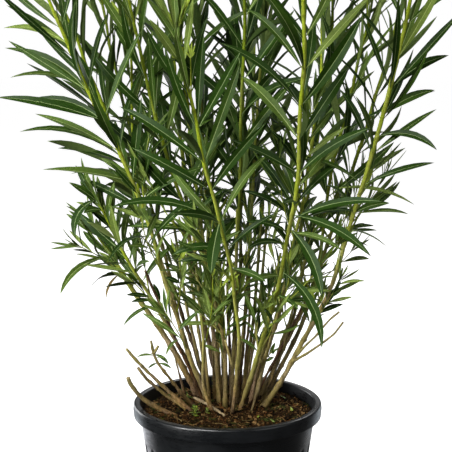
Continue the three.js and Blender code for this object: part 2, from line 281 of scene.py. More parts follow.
def plastic_material():
    """Black moulded plastic: semi-gloss, with a fine pebbled skin, faint dust and rubbed patches."""
    material, tree = new_material("pot_plastic", (0.005, 0.0058, 0.007), 0.3, 0.45)
    fine = noise(tree, 900, 2.0)
    patches = noise(tree, (14, 14, 26), 5.0, 0.65)
    scuffs = noise(tree, (60, 60, 420))
    dust = ramp(tree, patches, (0.45, 0.0032, 0.0038, 0.0044), (0.75, 0.0080, 0.0092, 0.0105))
    rubbed = add_node(tree, "Math", {0: patches, 1: scuffs}, operation="MULTIPLY").outputs[0]
    return textured(material, dust, (fine, 0.12, 0.0003), remapped(tree, rubbed, 0.15, 0.4, 0.24, 0.46))


def soil_material():
    """Dark brown crumbs, damp in patches, with a little moss."""
    material, tree = new_material("potting_soil", (0.06, 0.035, 0.016), 0.95, 0.06)
    crumbs = noise(tree, 260, 6.0, 0.7)
    patches = noise(tree, 24, 3.0)
    moss = noise(tree, 34)
    brown = ramp(tree, crumbs, (0.3, 0.0035, 0.0022, 0.0009), (0.5, 0.017, 0.0090, 0.0032),
                 (0.62, 0.060, 0.029, 0.0085), (0.8, 0.150, 0.083, 0.028))
    damp = ramp(tree, patches, (0.35, 0.42, 0.42, 0.36), (0.65, 1.2, 1.08, 0.92))
    green = ramp(tree, crumbs, (0.35, 0.008, 0.011, 0.002), (0.7, 0.060, 0.075, 0.016))
    colour = mixed(tree, remapped(tree, moss, 0.52, 0.64), times(tree, brown, damp), green)
    return textured(material, colour, (crumbs, 0.9, 0.002))


def leaf_skin(name, colour, roughness, specular):
    """A leaf's skin: one base colour with a faint fine mottling and shallow pores."""
    material, tree = new_material(name, colour, roughness, specular)
    mottle = noise(tree, 260, 3.0)
    dark = [0.82 * value for value in colour]
    light = [1.18 * value for value in colour]
    return textured(material, ramp(tree, mottle, (0.3, *dark), (0.7, *light)), (mottle, 0.2, 0.0002))


# Leaf colours, dark and old to pale and young, then withered: upper side, underside, midrib.
LEAF_COLOURS = [
    ((0.009, 0.026, 0.002), (0.036, 0.066, 0.016), (0.150, 0.205, 0.080)),
    ((0.015, 0.040, 0.003), (0.055, 0.092, 0.023), (0.190, 0.255, 0.095)),
    ((0.031, 0.067, 0.007), (0.084, 0.128, 0.034), (0.240, 0.310, 0.110)),
    ((0.066, 0.112, 0.017), (0.122, 0.172, 0.048), (0.290, 0.360, 0.120)),
    ((0.135, 0.192, 0.036), (0.170, 0.225, 0.060), (0.340, 0.410, 0.120)),
    ((0.225, 0.300, 0.030), (0.245, 0.310, 0.050), (0.400, 0.450, 0.110)),
    ((0.230, 0.165, 0.055), (0.240, 0.180, 0.070), (0.300, 0.230, 0.100)),
]
PALEST, WITHERED = 5, 6
SKINS = (("", 0.45, 0.11), ("_under", 0.6, 0.05), ("_rib", 0.5, 0.2))     # ending, roughness, specular

bark = bark_material()
cut_wood = cut_wood_material()
leaf_materials = [
    leaf_skin(f"leaf_{shade}{ending}", colour, roughness, specular)
    for shade, colours in enumerate(LEAF_COLOURS)
    for colour, (ending, roughness, specular) in zip(colours, SKINS)
]

# ---- leaves


class Leaves:
    """Collects leaves, one row each, for one joined mesh. Across, a leaf has five points: left margin,
    both sides of the midrib, right margin, and the keel under the midrib."""

    STATIONS = np.array([0.0, 0.04, 0.11, 0.21, 0.33, 0.46, 0.59, 0.72, 0.84, 0.94])
    THICKNESS = 0.45 * MM
    RIB_HALF = 0.5 * MM
    STRIPS = ((0, 1, 0), (1, 2, 2), (2, 3, 0), (3, 4, 1), (4, 0, 1))     # two columns and a material
    MARGINS = (0, 3)

    def __init__(self):
        self.rows = []

    def add(self, base, direction, normal, length, width, droop, sweep, twist, fold, shade):
        self.rows.append((*base, *direction, *normal, length, width, droop, sweep, twist, fold, shade))

    def leaf_faces(self):
        """Triangles of one leaf and their materials; both skins are cut from the margin inwards."""
        faces, kinds = [], []
        last = len(self.STATIONS) - 1
        for k in range(last):
            for first, second, kind in self.STRIPS:
                p, q = 5 * k + first, 5 * k + second
                s, r = p + 5, q + 5
                faces += [(p, q, s), (q, r, s)] if second in self.MARGINS else [(p, q, r), (p, r, s)]
                kinds += [kind, kind]
        for first, second, kind in self.STRIPS:
            faces.append((5 * last + first, 5 * last + second, 5 * last + 5))
            kinds.append(kind)
        faces += [(1, 0, 4), (2, 1, 4), (3, 2, 4)]
        kinds += [1, 1, 1]
        return np.array(faces), np.array(kinds)

    def mesh(self):
        rows = np.array(self.rows)
        count = len(rows)
        stations = self.STATIONS
        base, along, upper = rows[:, 0:3], unit(rows[:, 3:6]), rows[:, 6:9]
        length, width, droop, sweep, twist, fold, shade = rows[:, 9:].T
        upper = unit(upper - along * np.sum(upper * along, -1, keepdims=True))
        side = np.cross(along, upper)
        centre = np.repeat(base[:, None], len(stations), 1)
        directions = np.empty_like(centre)
        normals = np.empty_like(centre)
        sides = np.empty_like(centre)
        for k, share in enumerate(stations):
            bend = droop * share ** 1.3
            normals[:, k] = turn(upper, side, -bend)
            directions[:, k] = turn(turn(along, side, -bend), normals[:, k], sweep * share)
            sides[:, k] = turn(side, normals[:, k], sweep * share)
            if k:
                middle = unit(directions[:, k] + directions[:, k - 1])
                centre[:, k] = centre[:, k - 1] + middle * (length * (share - stations[k - 1]))[:, None]
        turned = twist[:, None] * stations
        sides = turn(sides, directions, turned)
        normals = turn(normals, directions, turned)
        outline = np.maximum(np.sin(np.pi * stations ** 1.1) ** 0.85, 0.11)
        half = width[:, None] * 0.5 * outline
        rib = np.minimum(self.RIB_HALF * (1.25 - 0.9 * stations) * (width / (16 * MM))[:, None], half * 0.5)
        lift = np.sin(fold)[:, None] * half
        flat = np.cos(fold)[:, None] * half

        def across(w, h):
            return centre + sides * w[..., None] + normals * h[..., None]

        ring = np.stack([
            across(-flat, lift),
            across(-rib, rib * 0.2),
            across(rib, rib * 0.2),
            across(flat, lift),
            across(flat * 0, lift * 0 - self.THICKNESS),
        ], 2)
        tip = (centre[:, -1] + directions[:, -1] * (length * (1 - stations[-1]))[:, None])[:, None]
        points = np.concatenate([ring.reshape(count, -1, 3), tip], 1)
        faces, kinds = self.leaf_faces()
        all_faces = (faces + np.arange(count)[:, None, None] * points.shape[1]).reshape(-1, 3)
        all_kinds = (kinds + len(SKINS) * shade.astype(int)[:, None]).ravel()
        columns = np.tile([*range(5)] * len(stations) + [-1], count)
        return Mesh(points.reshape(-1, 3), all_faces, all_kinds, columns=columns)


# ---- centre lines of the canes

RING_GAP = 6 * MM                # rings of a cane's solid lie further apart than this
FLARE_ZONE = 12 * MM             # the solid's lowest rings lie this close to the soil
TIP_BELOW_TOP = 95 * MM          # a tall plume's youngest leaves reach this far above its growing tip
LOW_TIP_BELOW_TOP = 57 * MM
TALL_MASS = 0.3                  # masses taller than this are full plumes


def node_points(name):
    mesh = nodes[name].data
    co = np.empty(len(mesh.vertices) * 3)
    mesh.vertices.foreach_get("co", co)
    return np.unique(np.round(co.reshape(-1, 3), 6), axis=0)


def ring_centres(name):
    """Centres and radii of the rings of a cane's solid above its flare, and its foot."""
    points = node_points(name)
    lowest = points[:, 2].min()
    foot = points[points[:, 2] < lowest + 0.1 * MM].mean(0)
    points = points[points[:, 2] > lowest + FLARE_ZONE]
    far = points[np.argmax(points[:, 2])]
    places = (points - foot) @ unit(far - foot)
    order = np.argsort(places)
    rings = np.split(points[order], np.nonzero(np.diff(places[order]) > RING_GAP)[0] + 1)
    centres = np.array([ring.mean(0) for ring in rings])
    radii = np.array([np.median(np.sort(norm(ring - ring.mean(0), axis=1))[1:]) for ring in rings])
    return foot, centres, radii


class Line:
    """A smooth centre line: points at even steps of its length, with a radius at each."""

    def __init__(self, points, radii, step=4 * MM):
        lengths = np.concatenate([[0], np.cumsum(norm(np.diff(points, axis=0), axis=1))])
        self.length = lengths[-1]
        self.at = np.linspace(0, self.length, max(6, int(self.length / step)))
        self.points = sampled(self.at, lengths, points)
        self.radii = np.interp(self.at, lengths, radii)
        self.tangents = unit(np.gradient(self.points, self.at, axis=0))

    def point(self, place):
        return sampled(place, self.at, self.points)

    def tangent(self, place):
        return unit(sampled(place, self.at, self.tangents))

    def radius(self, place):
        return float(np.interp(place, self.at, self.radii))

    def place_at_height(self, height):
        return float(np.interp(height, self.points[:, 2], self.at))

    def at_height(self, height):
        return self.point(self.place_at_height(height))


def through(stops, first, last):
    """A limb line through points given in millimetres, with a radius at either end."""
    stops = np.array(stops, float)
    share = np.linspace(0, 1, len(stops))
    fine = np.linspace(0, 1, 7 * len(stops))
    path = sampled(fine, share, stops)
    path[1:-1] = (path[:-2] + path[1:-1] + path[2:]) / 3
    return Line(path * MM, np.interp(fine, [0, 1], [first * MM, last * MM]))


def hermite(a, b, ta, tb, count):
    """Points of a cubic from a to b with end directions ta and tb."""
    reach = norm(b - a)
    t = np.linspace(0, 1, count)[:, None]
    return ((2 * t ** 3 - 3 * t ** 2 + 1) * a + (t ** 3 - 2 * t ** 2 + t) * ta * reach
            + (3 * t ** 2 - 2 * t ** 3) * b + (t ** 3 - t ** 2) * tb * reach)


# Sideways stand-off of a cane, in millimetres, at heights in metres.
SWAY = {
    "left_front": ((0.46, 0), (0.60, 18), (0.75, 9), (0.90, -7)),
    "front_left": ((0.46, 0), (0.60, -5), (0.75, -11), (0.90, -12)),
    "front_right": ((0.46, 0), (0.60, 3), (0.75, -5), (0.90, -10)),
    "right_front": ((0.46, -6), (0.60, -16), (0.75, -14), (0.90, -11)),
    "right": ((0.46, 0), (0.60, -10), (0.75, -8), (0.90, -11)),
    "stump_upper": ((0.276, -3), (0.30, -6), (0.323, -9), (0.334, -9), (0.351, -6), (0.37, 2)),
}

# Limbs a little thinner or thicker than their solids.
GIRTH = {"stump_middle": 0.85, "stump_upper": 0.85, "left_low": 1.35, "left_low_front": 1.1, "centre": 0.82,
         "dead_left": 0.6}


def cane_line(name, leafy=False):
    """Centre line of a cane from the soil to its end, or on through its mass to the growing tip."""
    solid = f"cane_{name}"
    foot, centres, radii = ring_centres(solid)
    known = np.vstack([foot, centres])
    heights = np.linspace(foot[2], known[-1, 2], 60)
    path = np.stack([np.polyval(np.polyfit(known[:, 2], known[:, k], 3), heights) for k in range(2)], 1)
    path = np.column_stack([path, heights])
    girth = np.interp(heights, known[:, 2], np.concatenate([[radii[0] * 1.04], radii]))
    if leafy:
        cloud = node_points(f"leaves_{name}")
        top = cloud[np.argmax(cloud[:, 2])]
        tall = np.ptp(cloud[:, 2]) > TALL_MASS
        start = unit(path[-1] - path[-3])
        chord = unit(top - path[-1])
        shoot = hermite(path[-1], top, start, 2 * (start @ chord) * chord - start, 60)
        tip_height = top[2] - (TIP_BELOW_TOP if tall else LOW_TIP_BELOW_TOP)
        shoot = shoot[shoot[:, 2] < tip_height][1:]
        middle = (path[-1, 2] + tip_height) / 2
        girths = [girth[-1], girth[-1] * 1.06, 2.3 * MM] if tall else [girth[-1], 2.2 * MM, 1.5 * MM]
        thin = np.interp(shoot[:, 2], [path[-1, 2], middle, tip_height], girths)
        path = np.vstack([path, shoot])
        girth = np.concatenate([girth, thin])
    sway = np.array([(SOIL_TOP, 0), *SWAY.get(name, ())])
    stand_off = np.interp(path[:, 2], sway[:, 0], sway[:, 1])
    window = np.ones(9) / 9
    path[:, 0] += MM * np.convolve(np.pad(stand_off, 4, "edge"), window, "valid")
    free = smooth((path[:, 2] - SOIL_TOP) / (50 * MM))
    for axis in (0, 1):
        path[:, axis] += 1.6 * MM * free * wobble(path, 110 * MM, len(solid) + 7 * axis)
    return Line(path, girth * GIRTH.get(name, 1.0))


# ---- limbs as meshes with bark relief

INTERNODE = 46 * MM


def limb_mesh(line, sides, youth, seed, dead=0.0, flare=0.25, relief=0.42 * MM, square_end=True,
              paleness_and_shade=0.6):
    """One limb with nodes, leaf scars, a flared foot and bark relief; a square end shows cut wood."""
    rng = default_rng(seed)
    angles = np.linspace(0, TAU, sides, endpoint=False)
    across = unit(np.array([1.0, 0, 0]) - line.tangents * line.tangents[:, :1])
    beside = np.cross(line.tangents, across)
    offset = rng.uniform(0, INTERNODE)
    to_node = np.abs((line.at + offset + INTERNODE / 2) % INTERNODE - INTERNODE / 2)
    node_index = np.floor((line.at + offset) / INTERNODE + 0.5)
    ring = np.exp(-(to_node / (1.8 * MM)) ** 2)
    turned = node_index * pi / 3
    scars = ring[:, None] * np.clip(np.cos(3 * (angles - turned[:, None])), 0, 1) ** 2
    swelling = 0.15 * np.exp(-(to_node / (4 * MM)) ** 2)[:, None] + 0.26 * scars
    foot = flare * np.exp(-(line.at / (14 * MM)))
    radius = line.radii[:, None] * (1 + swelling + foot[:, None] * (1 + 0.25 * np.cos(2 * angles + seed)))
    surface = across[:, None] * np.cos(angles)[:, None] + beside[:, None] * np.sin(angles)[:, None]
    skin = line.points[:, None] + surface * radius[..., None]
    rough = relief * np.clip(1 - youth, 0.25, 1)[:, None]
    bark_noise = wobble(skin * [1, 1, 0.35], 9 * MM, seed) + 0.7 * wobble(skin, 30 * MM, seed + 1)
    skin += surface * (rough * bark_noise)[..., None]
    # The lowest rings are laid level, so that the limb is cut flat at its foot.
    low = (line.points[:, 2] - line.points[0, 2] < 2 * radius.max(1)) & (line.tangents[:, 2] > 0.3)
    rise = (line.points[:, None, 2] - skin[..., 2]) / line.tangents[:, None, 2]
    skin = np.where(low[:, None, None], skin + line.tangents[:, None] * rise[..., None], skin)
    points = np.vstack([skin.reshape(-1, 3), line.points[0], line.points[-1]])
    rows = len(line.at)
    k = np.arange(sides)
    nxt = (k + 1) % sides
    end = (rows - 1) * sides
    walls = grid_faces(rows, sides)
    faces = np.vstack([walls, fan(nxt, k, rows * sides), fan(end + k, end + nxt, rows * sides + 1)])
    kinds = np.concatenate([np.zeros(len(walls) + sides, int), np.full(sides, int(square_end))])
    height = np.maximum(line.points[:, 2] - SOIL_TOP, 0)
    # Painted shade: the bark is darkened towards the soil, where the crown's shade falls; it goes into the
    # scar value with the leaf scars.
    painted_base_shade = 0.1 * np.exp(-height / (10 * MM)) + 0.9 * np.exp(-height / (100 * MM))
    scar_and_base_shade = np.concatenate([np.maximum(0.35 * ring[:, None] + 0.65 * scars, painted_base_shade[:, None]).ravel(), [0, 0]])
    young = np.concatenate([np.repeat(youth, sides), youth[[0, -1]]])
    values = (young, scar_and_base_shade, np.full(len(points), dead), np.full(len(points), paleness_and_shade))
    return Mesh(points, faces, kinds, dict(zip(BARK_VALUES, values)))


def join(limbs):
    starts = np.cumsum([0, *(len(limb.points) for limb in limbs[:-1])])
    faces = [np.where(limb.faces < 0, -1, limb.faces + start) for limb, start in zip(limbs, starts)]
    values = {key: np.concatenate([limb.attributes[key] for limb in limbs]) for key in BARK_VALUES}
    return Mesh(np.vstack([limb.points for limb in limbs]), np.vstack(faces),
                np.concatenate([limb.kinds for limb in limbs]), values)


# ---- shoots and their leaves

CLUMP_MIDDLE = np.array([0.0, 0.07, 0.0])
WHORL_STEP = 53 * MM             # distance between two whorls of long leaves
LONG_LEAF = 152 * MM
SHORT_LEAF = 64 * MM
ROOM = 24 * MM                   # leaves may reach this far beyond the part's box
allowed_low = np.array(cad_box[0]) - ROOM
allowed_high = np.array(cad_box[1]) + ROOM

lines = {}
sprays = {side: Leaves() for side in ("left", "front", "right", "back", "short")}
replaced = {side: [] for side in sprays}
replaced["short"].append("leaves_on_stump")
twigs = []


def around(axis, angle):
    """Unit direction square to an axis, at an angle round it."""
    across = unit(np.array([1.0, 0, 0]) - axis * axis[0])
    return across * cos(angle) + np.cross(axis, across) * sin(angle)


def daylight(point):
    """Direction that a leaf's upper side turns to: up, and out of the clump, mostly to front and back."""
    out = point - CLUMP_MIDDLE
    out = out * ([1.6, 6.0, 0] if out[1] < 0.02 else [3.2, 3.2, 0])
    return out / max(1.0, norm(out)) * 1.5 + UP * 0.4


def leaf_in_bounds(base, along, length):
    """The longest leaf, up to the given length, that stays in the room round the part's box."""
    for share in (1.0, 0.8, 0.6):
        tip = base + along * length * share
        if np.all(tip > allowed_low) and np.all(tip < allowed_high):
            return length * share
    return 0.0


def whorl(leaves, rng, line, place, size, angle, droop, shade, first, count=3, skip=0.0, slim=1.0):
    """Leaves round one node of a shoot. size: leaf length; angle: from the shoot, in degrees."""
    axis = line.tangent(place)
    centre = line.point(place)
    radius = line.radius(place)
    for k in range(count):
        out = around(axis, first + k * TAU / count + rng.normal(0, 0.16))
        tilt = radians(angle + rng.normal(0, 7))
        along = axis * cos(tilt) + out * sin(tilt)
        upper = axis * 0.6 + daylight(centre) + rng.normal(0, 0.34, 3)
        length = leaf_in_bounds(centre, along, size * rng.uniform(0.86, 1.12))
        width = (0.078 * length + 4.2 * MM) * slim * rng.uniform(0.86, 1.14)
        bend = radians(droop + rng.normal(0, 13))
        sweep = rng.normal(0, 0.16)
        fold = radians(rng.uniform(9, 24))
        twist = rng.normal(0, 0.3)
        if rng.random() >= skip and length > 0:
            leaves.add(centre + out * radius * 0.8, along, upper, length, width, bend, sweep, twist, fold,
                       shade(rng))


def shade_near(middle, spread=0.85):
    return lambda rng: int(np.clip(round(middle + rng.normal(0, spread)), 0, 5))


def tip_leaves(leaves, rng, line, size, tone, first, shares=(0.62, 0.48, 0.34, 0.2)):
    """The upright young leaves that close a shoot."""
    for k, share in enumerate(shares):
        place = line.length - (len(shares) - 1 - k) * 1.5 * MM
        turned = first + k * pi / 3
        whorl(leaves, rng, line, place, size * share, 22 - 5 * k, 4, shade_near(tone, 0.4), turned, slim=0.62)


def leader_leaves(leaves, rng, line, start, tone, scale=1.0, bareness=0.4):
    """Whorls of long leaves up a leader: spreading and drooping low down, upright and bright on top."""
    first = rng.uniform(0, TAU)
    place = start
    while place < line.length - 3 * MM:
        share = (place - start) / (line.length - start)
        young = smooth(1 - (line.length - place) / (2.8 * scale * WHORL_STEP))
        size = np.interp(share, [0, 0.15, 0.4, 1], [0.62, 0.86, 1.04, 0.9]) * (1 - 0.45 * young)
        angle = np.interp(share, [0, 0.3, 1], [52, 38, 30]) * (1 - 0.5 * young)
        droop = np.interp(share, [0, 0.25, 0.7, 1], [56, 34, 24, 8])
        shade = shade_near(tone + 2.2 * young)
        bare = bareness * (1 - smooth(share / 0.2))
        slim = 1 - 0.25 * smooth((abs(line.point(place)[0]) - 0.14) / 0.1)
        whorl(leaves, rng, line, place, scale * LONG_LEAF * size, angle, droop, shade, first, 3, bare, slim)
        first += pi / 3
        place += scale * WHORL_STEP * (1 - 0.6 * young) * rng.uniform(0.88, 1.12)
    tip_leaves(leaves, rng, line, scale * LONG_LEAF, tone + 2.6, first)


def short_leaves(leaves, rng, line, start, tone, size, step, skip=0.42, slim=0.85, pairs=0.5):
    """Pairs and threes of short leaves along a side shoot, set unevenly."""
    first = rng.uniform(0, TAU)
    place = start
    while place < line.length - 2 * MM:
        share = (place - start) / max(line.length - start, MM)
        angle = np.interp(share, [0, 1], [42, 22])
        length = size * (1 - 0.25 * share) * rng.uniform(0.75, 1.25)
        count = 2 if rng.random() < pairs else 3
        whorl(leaves, rng, line, place, length, angle, 34 - 20 * share, shade_near(tone + 0.8 * share), first,
              count, skip, slim)
        first += pi / count + rng.normal(0, 0.3)
        place += step * rng.uniform(0.8, 1.3)
    tip_leaves(leaves, rng, line, size, tone + 0.9, first, (0.7, 0.42))


def twig_line(start, direction, length, radius, lift, rng):
    """A short side shoot that leaves in a direction and bends up towards the light."""
    t = np.linspace(0, 1, 14)[:, None]
    sway = around(unit(direction), rng.uniform(0, TAU)) * length * rng.normal(0, 0.06)
    path = start + unit(direction) * length * t + UP * lift * length * t ** 2 + sway * np.sin(pi * t)
    return Line(path, np.interp(t[:, 0], [0, 1], [radius, radius * 0.55]), step=6 * MM)


def add_twig(line, youth, seed, cut=False):
    ramped = np.full(len(line.at), youth)
    twigs.append(limb_mesh(line, 6, ramped, seed, flare=0.5, relief=0.08 * MM, square_end=cut))


def side_shoot(rng, line, height, length, tone, size):
    """One leafy side shoot that springs from a limb."""
    place = line.place_at_height(height)
    axis = line.tangent(place)
    out = around(axis, rng.uniform(0, TAU))
    tilt = radians(rng.uniform(20, 42))
    radius = min(line.radius(place) * 0.45, 1.2 * MM)
    foot = line.point(place) + out * line.radius(place) * 0.5
    twig = twig_line(foot, axis * cos(tilt) + out * sin(tilt), length, radius, 0.25, rng)
    add_twig(twig, 0.8, int(rng.integers(1 << 30)))
    short_leaves(sprays["short"], rng, twig, length * 0.25, tone, size, 22 * MM)


def sprig(rng, foot, tip, radius, lift, green, seed, start, tone, size, step, **manner):
    """A leafy twig from a point of a cane to a tip; its leaves start at a share of its length."""
    length = norm(tip - foot)
    twig = twig_line(foot, tip - foot, length, radius, lift, rng)
    add_twig(twig, green, seed)
    short_leaves(sprays["short"], rng, twig, start * length, tone, size, step, **manner)


def make_cane(name, line, youth, seed, paleness_and_shade, cut=True):
    dead = float(name.startswith("dead"))
    shape = limb_mesh(line, 12, youth, seed, dead, square_end=cut, paleness_and_shade=paleness_and_shade)
    cane = make_piece(f"cane_{name}", shape, [bark, cut_wood])
    on_root(cane, "dead_bark" if dead else "bark", f"cane_{name}")


# Leaders: heights at which the bark is green and the long leaves start, tone of the leaves (0 dark to
# 5 pale), number of side shoots, paleness of the bark (0 reddish dark to 1 pale grey; low values on
# canes at the back of the clump are painted shade), leaf piece.
LEADERS = {
    "left_front": (0.52, 0.56, 1.6, 3, 0.75, "left"),
    "left_inner": (0.50, 0.52, 1.6, 3, 0.35, "left"),
    "front_left": (0.42, 0.555, 1.7, 1, 0.65, "front"),
    "front_right": (0.36, 0.575, 1.6, 2, 0.8, "front"),
    "right_front": (0.55, 0.60, 1.6, 1, 0.95, "right"),
    "right": (0.50, 0.52, 1.5, 3, 0.3, "right"),
    "centre_right": (0.50, 0.52, 1.2, 3, 0.6, "front"),
    "centre": (0.52, 0.54, 1.0, 3, 0.2, "front"),
    "centre_left": (0.52, 0.52, 1.0, 3, 0.45, "left"),
    "centre_back": (0.55, 0.53, 1.0, 3, 0.15, "back"),
    "left_side": (0.55, 0.55, 1.5, 2, 0.5, "left"),
    "left_back": (0.55, 0.52, 1.4, 2, 0.15, "left"),
    "back_left": (0.58, 0.53, 1.2, 3, 0.3, "back"),
    "back": (0.55, 0.52, 1.4, 3, 0.3, "back"),
    "back_right": (0.55, 0.52, 1.3, 3, 0.1, "right"),
    "right_back": (0.55, 0.53, 1.5, 3, 0.4, "right"),
}
SUNLIT = ("left_front", "front_left", "front_right", "right_front", "right")     # bright green shoots

for seed, (name, (green_from, start, tone, shoots, paleness_and_shade, side)) in enumerate(LEADERS.items()):
    rng = default_rng(100 + seed)
    line = lines[name] = cane_line(name, leafy=True)
    replaced[side].append(f"leaves_{name}")
    heights = line.points[:, 2]
    steps = [SOIL_TOP, green_from - 0.08, green_from + 0.02, heights[-1]]
    sunlit = name in SUNLIT
    youths = [rng.uniform(0, 0.25), *((0.25, 0.75, 1.0) if sunlit else (0.2, 0.75, 1.1))]
    make_cane(name, line, np.interp(heights, steps, youths), 7 * seed, paleness_and_shade, cut=False)
    bareness = 0.0 if sunlit else 0.4
    leader_leaves(sprays[side], rng, line, line.place_at_height(start), tone, bareness=bareness)
    for k in range(shoots):
        height = np.interp((k + rng.uniform(0, 0.8)) / shoots, [0, 0.6, 1], [0.40, 0.53, start + 0.06])
        length = rng.uniform(70, 150) * MM
        size = SHORT_LEAF * np.interp(height, [0.45, 0.56], [0.95, 1.6]) * rng.uniform(0.85, 1.15)
        # Painted light: shoots low under the crown get paler leaf shades, against the crown's shade.
        side_shoot(rng, line, height, length, tone + np.interp(height, [0.42, 0.56], [1.9, 0.4]), size)

# A long shoot forks off the leader on the left side.
FORK_TIP = np.array([-158, -10, 889]) * MM
parent = lines["left_side"]
place = parent.place_at_height(0.575)
foot = parent.point(place)
shoot = hermite(foot, FORK_TIP, parent.tangent(place), unit(FORK_TIP - foot), 50)
fork = Line(shoot, np.linspace(parent.radius(place) * 0.8, 2.1 * MM, 50))
youth = np.full(len(fork.at), 0.95)
twigs.append(limb_mesh(fork, 8, youth, 850, flare=0.3, relief=0.08 * MM, square_end=False))
leader_leaves(sprays["left"], default_rng(150), fork, 0.03, 1.8)

# Low leafy canes: height at which the bark is green, height of the first leaves, and their tone.
LOW_LEADERS = {"left_low": (0.46, 0.475, 2.4), "left_low_front": (0.48, 0.475, 2.2)}
for seed, (name, (green_from, start, tone)) in enumerate(LOW_LEADERS.items()):
    rng = default_rng(200 + seed)
    line = lines[name] = cane_line(name, leafy=True)
    replaced["left"].append(f"leaves_{name}")
    steps = [SOIL_TOP, green_from - 0.08, green_from, 0.6]
    youth = np.interp(line.points[:, 2], steps, [0.0, 0.25, 0.75, 1.0])
    make_cane(name, line, youth, 80 + seed, 0.6, cut=False)
    short_leaves(sprays["left"], rng, line, line.place_at_height(start), tone, 1.3 * SHORT_LEAF, 19 * MM,
                 skip=0.0, slim=1.15, pairs=0.0)
    for k in range(2):
        side_shoot(rng, line, rng.uniform(0.42, 0.52), rng.uniform(50, 90) * MM, tone, SHORT_LEAF)

# Bare canes, with the paleness of their bark; low values also paint shade.
BARE = {
    "dead_left": 0.5, "dead_right": 0.45, "young_front": 0.8, "thin_left": 0.5, "thin_middle": 0.25,
    "thin_centre": 0.5, "thin_back": 0.5, "thin_back_right": 0.5, "thin_right": 0.9, "stump_front": 0.6,
    "stump_middle": 0.55, "stump_upper": 0.4, "stump_back": 0.5,
}
GREENISH = ("young_front", "thin_centre", "thin_right")
for seed, (name, paleness_and_shade) in enumerate(BARE.items()):
    rng = default_rng(300 + seed)
    line = lines[name] = cane_line(name)
    youth = np.linspace(0, 0.7 if name in GREENISH else 0.3, len(line.at))
    make_cane(name, line, youth, 300 + seed, paleness_and_shade)
    if name.startswith("thin"):
        for height in (0.38, 0.42, 0.47):
            side_shoot(rng, line, height, rng.uniform(40, 80) * MM, 1.6, SHORT_LEAF)

# Low tufts of short leaves: the cane that carries each, and its number of twigs.
TUFTS = {
    "low_front": ("front_right", 2), "low_centre": ("left_inner", 2), "low_left": ("left_front", 1),
    "low_right": ("right_front", 1), "low_back_left": ("back_left", 2), "low_back_right": ("back_right", 2),
}
for seed, (name, (carrier, count)) in enumerate(TUFTS.items()):
    rng = default_rng(500 + seed)
    low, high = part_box(f"leaves_{name}")
    centre = np.array((low + high) / 2)
    replaced["short"].append(f"leaves_{name}")
    for k in range(count):
        tip = centre + rng.uniform(-0.6, 0.6, 3) * (high - low).x / 2
        foot = lines[carrier].at_height(tip[2] - 0.07)
        sprig(rng, foot, tip, 1.2 * MM, 0.1, 0.7, 900 + 10 * seed + k, 0.35, 3.2, SHORT_LEAF, 20 * MM)

# Leafy sprigs low among the front canes: cane and height of the foot, tip and leaf length in
# millimetres, tone, and how green their stem is.
SPRIGS = [
    ("young_front", 0.370, (-24, -50, 494), 60, 3.8, 1.0),
    ("left_inner", 0.369, (-12, -20, 457), 54, 3.4, 0.8),
    ("left_inner", 0.352, (20, -10, 455), 56, 3.6, 0.8),
    ("centre_right", 0.330, (46, -10, 421), 40, 2.4, 0.4),
    ("left_inner", 0.330, (-23, -10, 415), 40, 2.4, 0.4),
    ("left_inner", 0.420, (-72, -10, 520), 56, 2.4, 0.6),
    ("left_inner", 0.385, (-70, -10, 450), 54, 3.0, 0.6),
    ("front_right", 0.360, (74, -20, 441), 42, 3.2, 0.6),
    ("front_right", 0.430, (100, -30, 515), 54, 3.0, 0.7),
    ("centre_right", 0.330, (74, -30, 362), 24, 2.0, 0.3),
    ("centre_left", 0.380, (-44, 20, 476), 56, 2.8, 0.5),
    ("right_front", 0.385, (158, -20, 462), 46, 2.8, 0.6),
    ("right", 0.400, (140, 40, 452), 46, 2.8, 0.6),
]
for seed, (name, height, tip, size, tone, green) in enumerate(SPRIGS):
    rng = default_rng(1200 + seed)
    foot = lines[name].at_height(height)
    sprig(rng, foot, np.array(tip) * MM, 1.3 * MM, 0.0, green, 1230 + seed, 0.3, tone, size * MM, 19 * MM,
          skip=0.1, slim=1.0)

# Thin inner stems: their points in millimetres, and paleness, whose low values also paint shade. The tall
# ones bear long leaves.
INNER_STEMS = [
    ((-30, 48, 245), (-45, 40, 400), (-62, 30, 600), 0.6),
    ((-22, 62, 245), (-26, 64, 400), (-36, 66, 600), (-44, 70, 760), (-52, 74, 900), 0.2),
    ((-6, 50, 245), (-10, 46, 400), (-16, 40, 600), 0.4),
    ((14, 54, 245), (30, 56, 400), (42, 60, 600), (50, 66, 760), (62, 74, 910), 0.4),
    ((24, 44, 245), (45, 46, 400), (60, 44, 600), 0.2),
    ((38, 72, 245), (92, 80, 400), (130, 84, 600), 0.5),
    ((-34, 80, 245), (-70, 90, 400), (-100, 100, 600), 0.3),
    ((6, 20, 245), (12, 6, 400), (16, -10, 600), 0.9),
    ((28, 66, 245), (54, 70, 400), (68, 76, 560), 0.4),
    ((-12, 74, 245), (-19, 80, 400), (-30, 90, 560), 0.5),
    ((-30, 62, 245), (-54, 66, 400), (-76, 74, 560), 0.5),
    ((58, 62, 245), (118, 78, 400), (146, 88, 560), 0.3),
]
for seed, (*stops, paleness_and_shade) in enumerate(INNER_STEMS):
    stem = through(stops, 3.1, 2.2)
    youth = np.interp(stem.points[:, 2], [0.25, 0.6], [0.1, 0.7])
    twigs.append(limb_mesh(stem, 8, youth, 1300 + seed, flare=0.2, relief=0.2 * MM, paleness_and_shade=paleness_and_shade))
    if stops[-1][2] > 600:
        rng = default_rng(1320 + seed)
        leader_leaves(sprays["back"], rng, stem, stem.place_at_height(0.54), 0.6, 0.9)

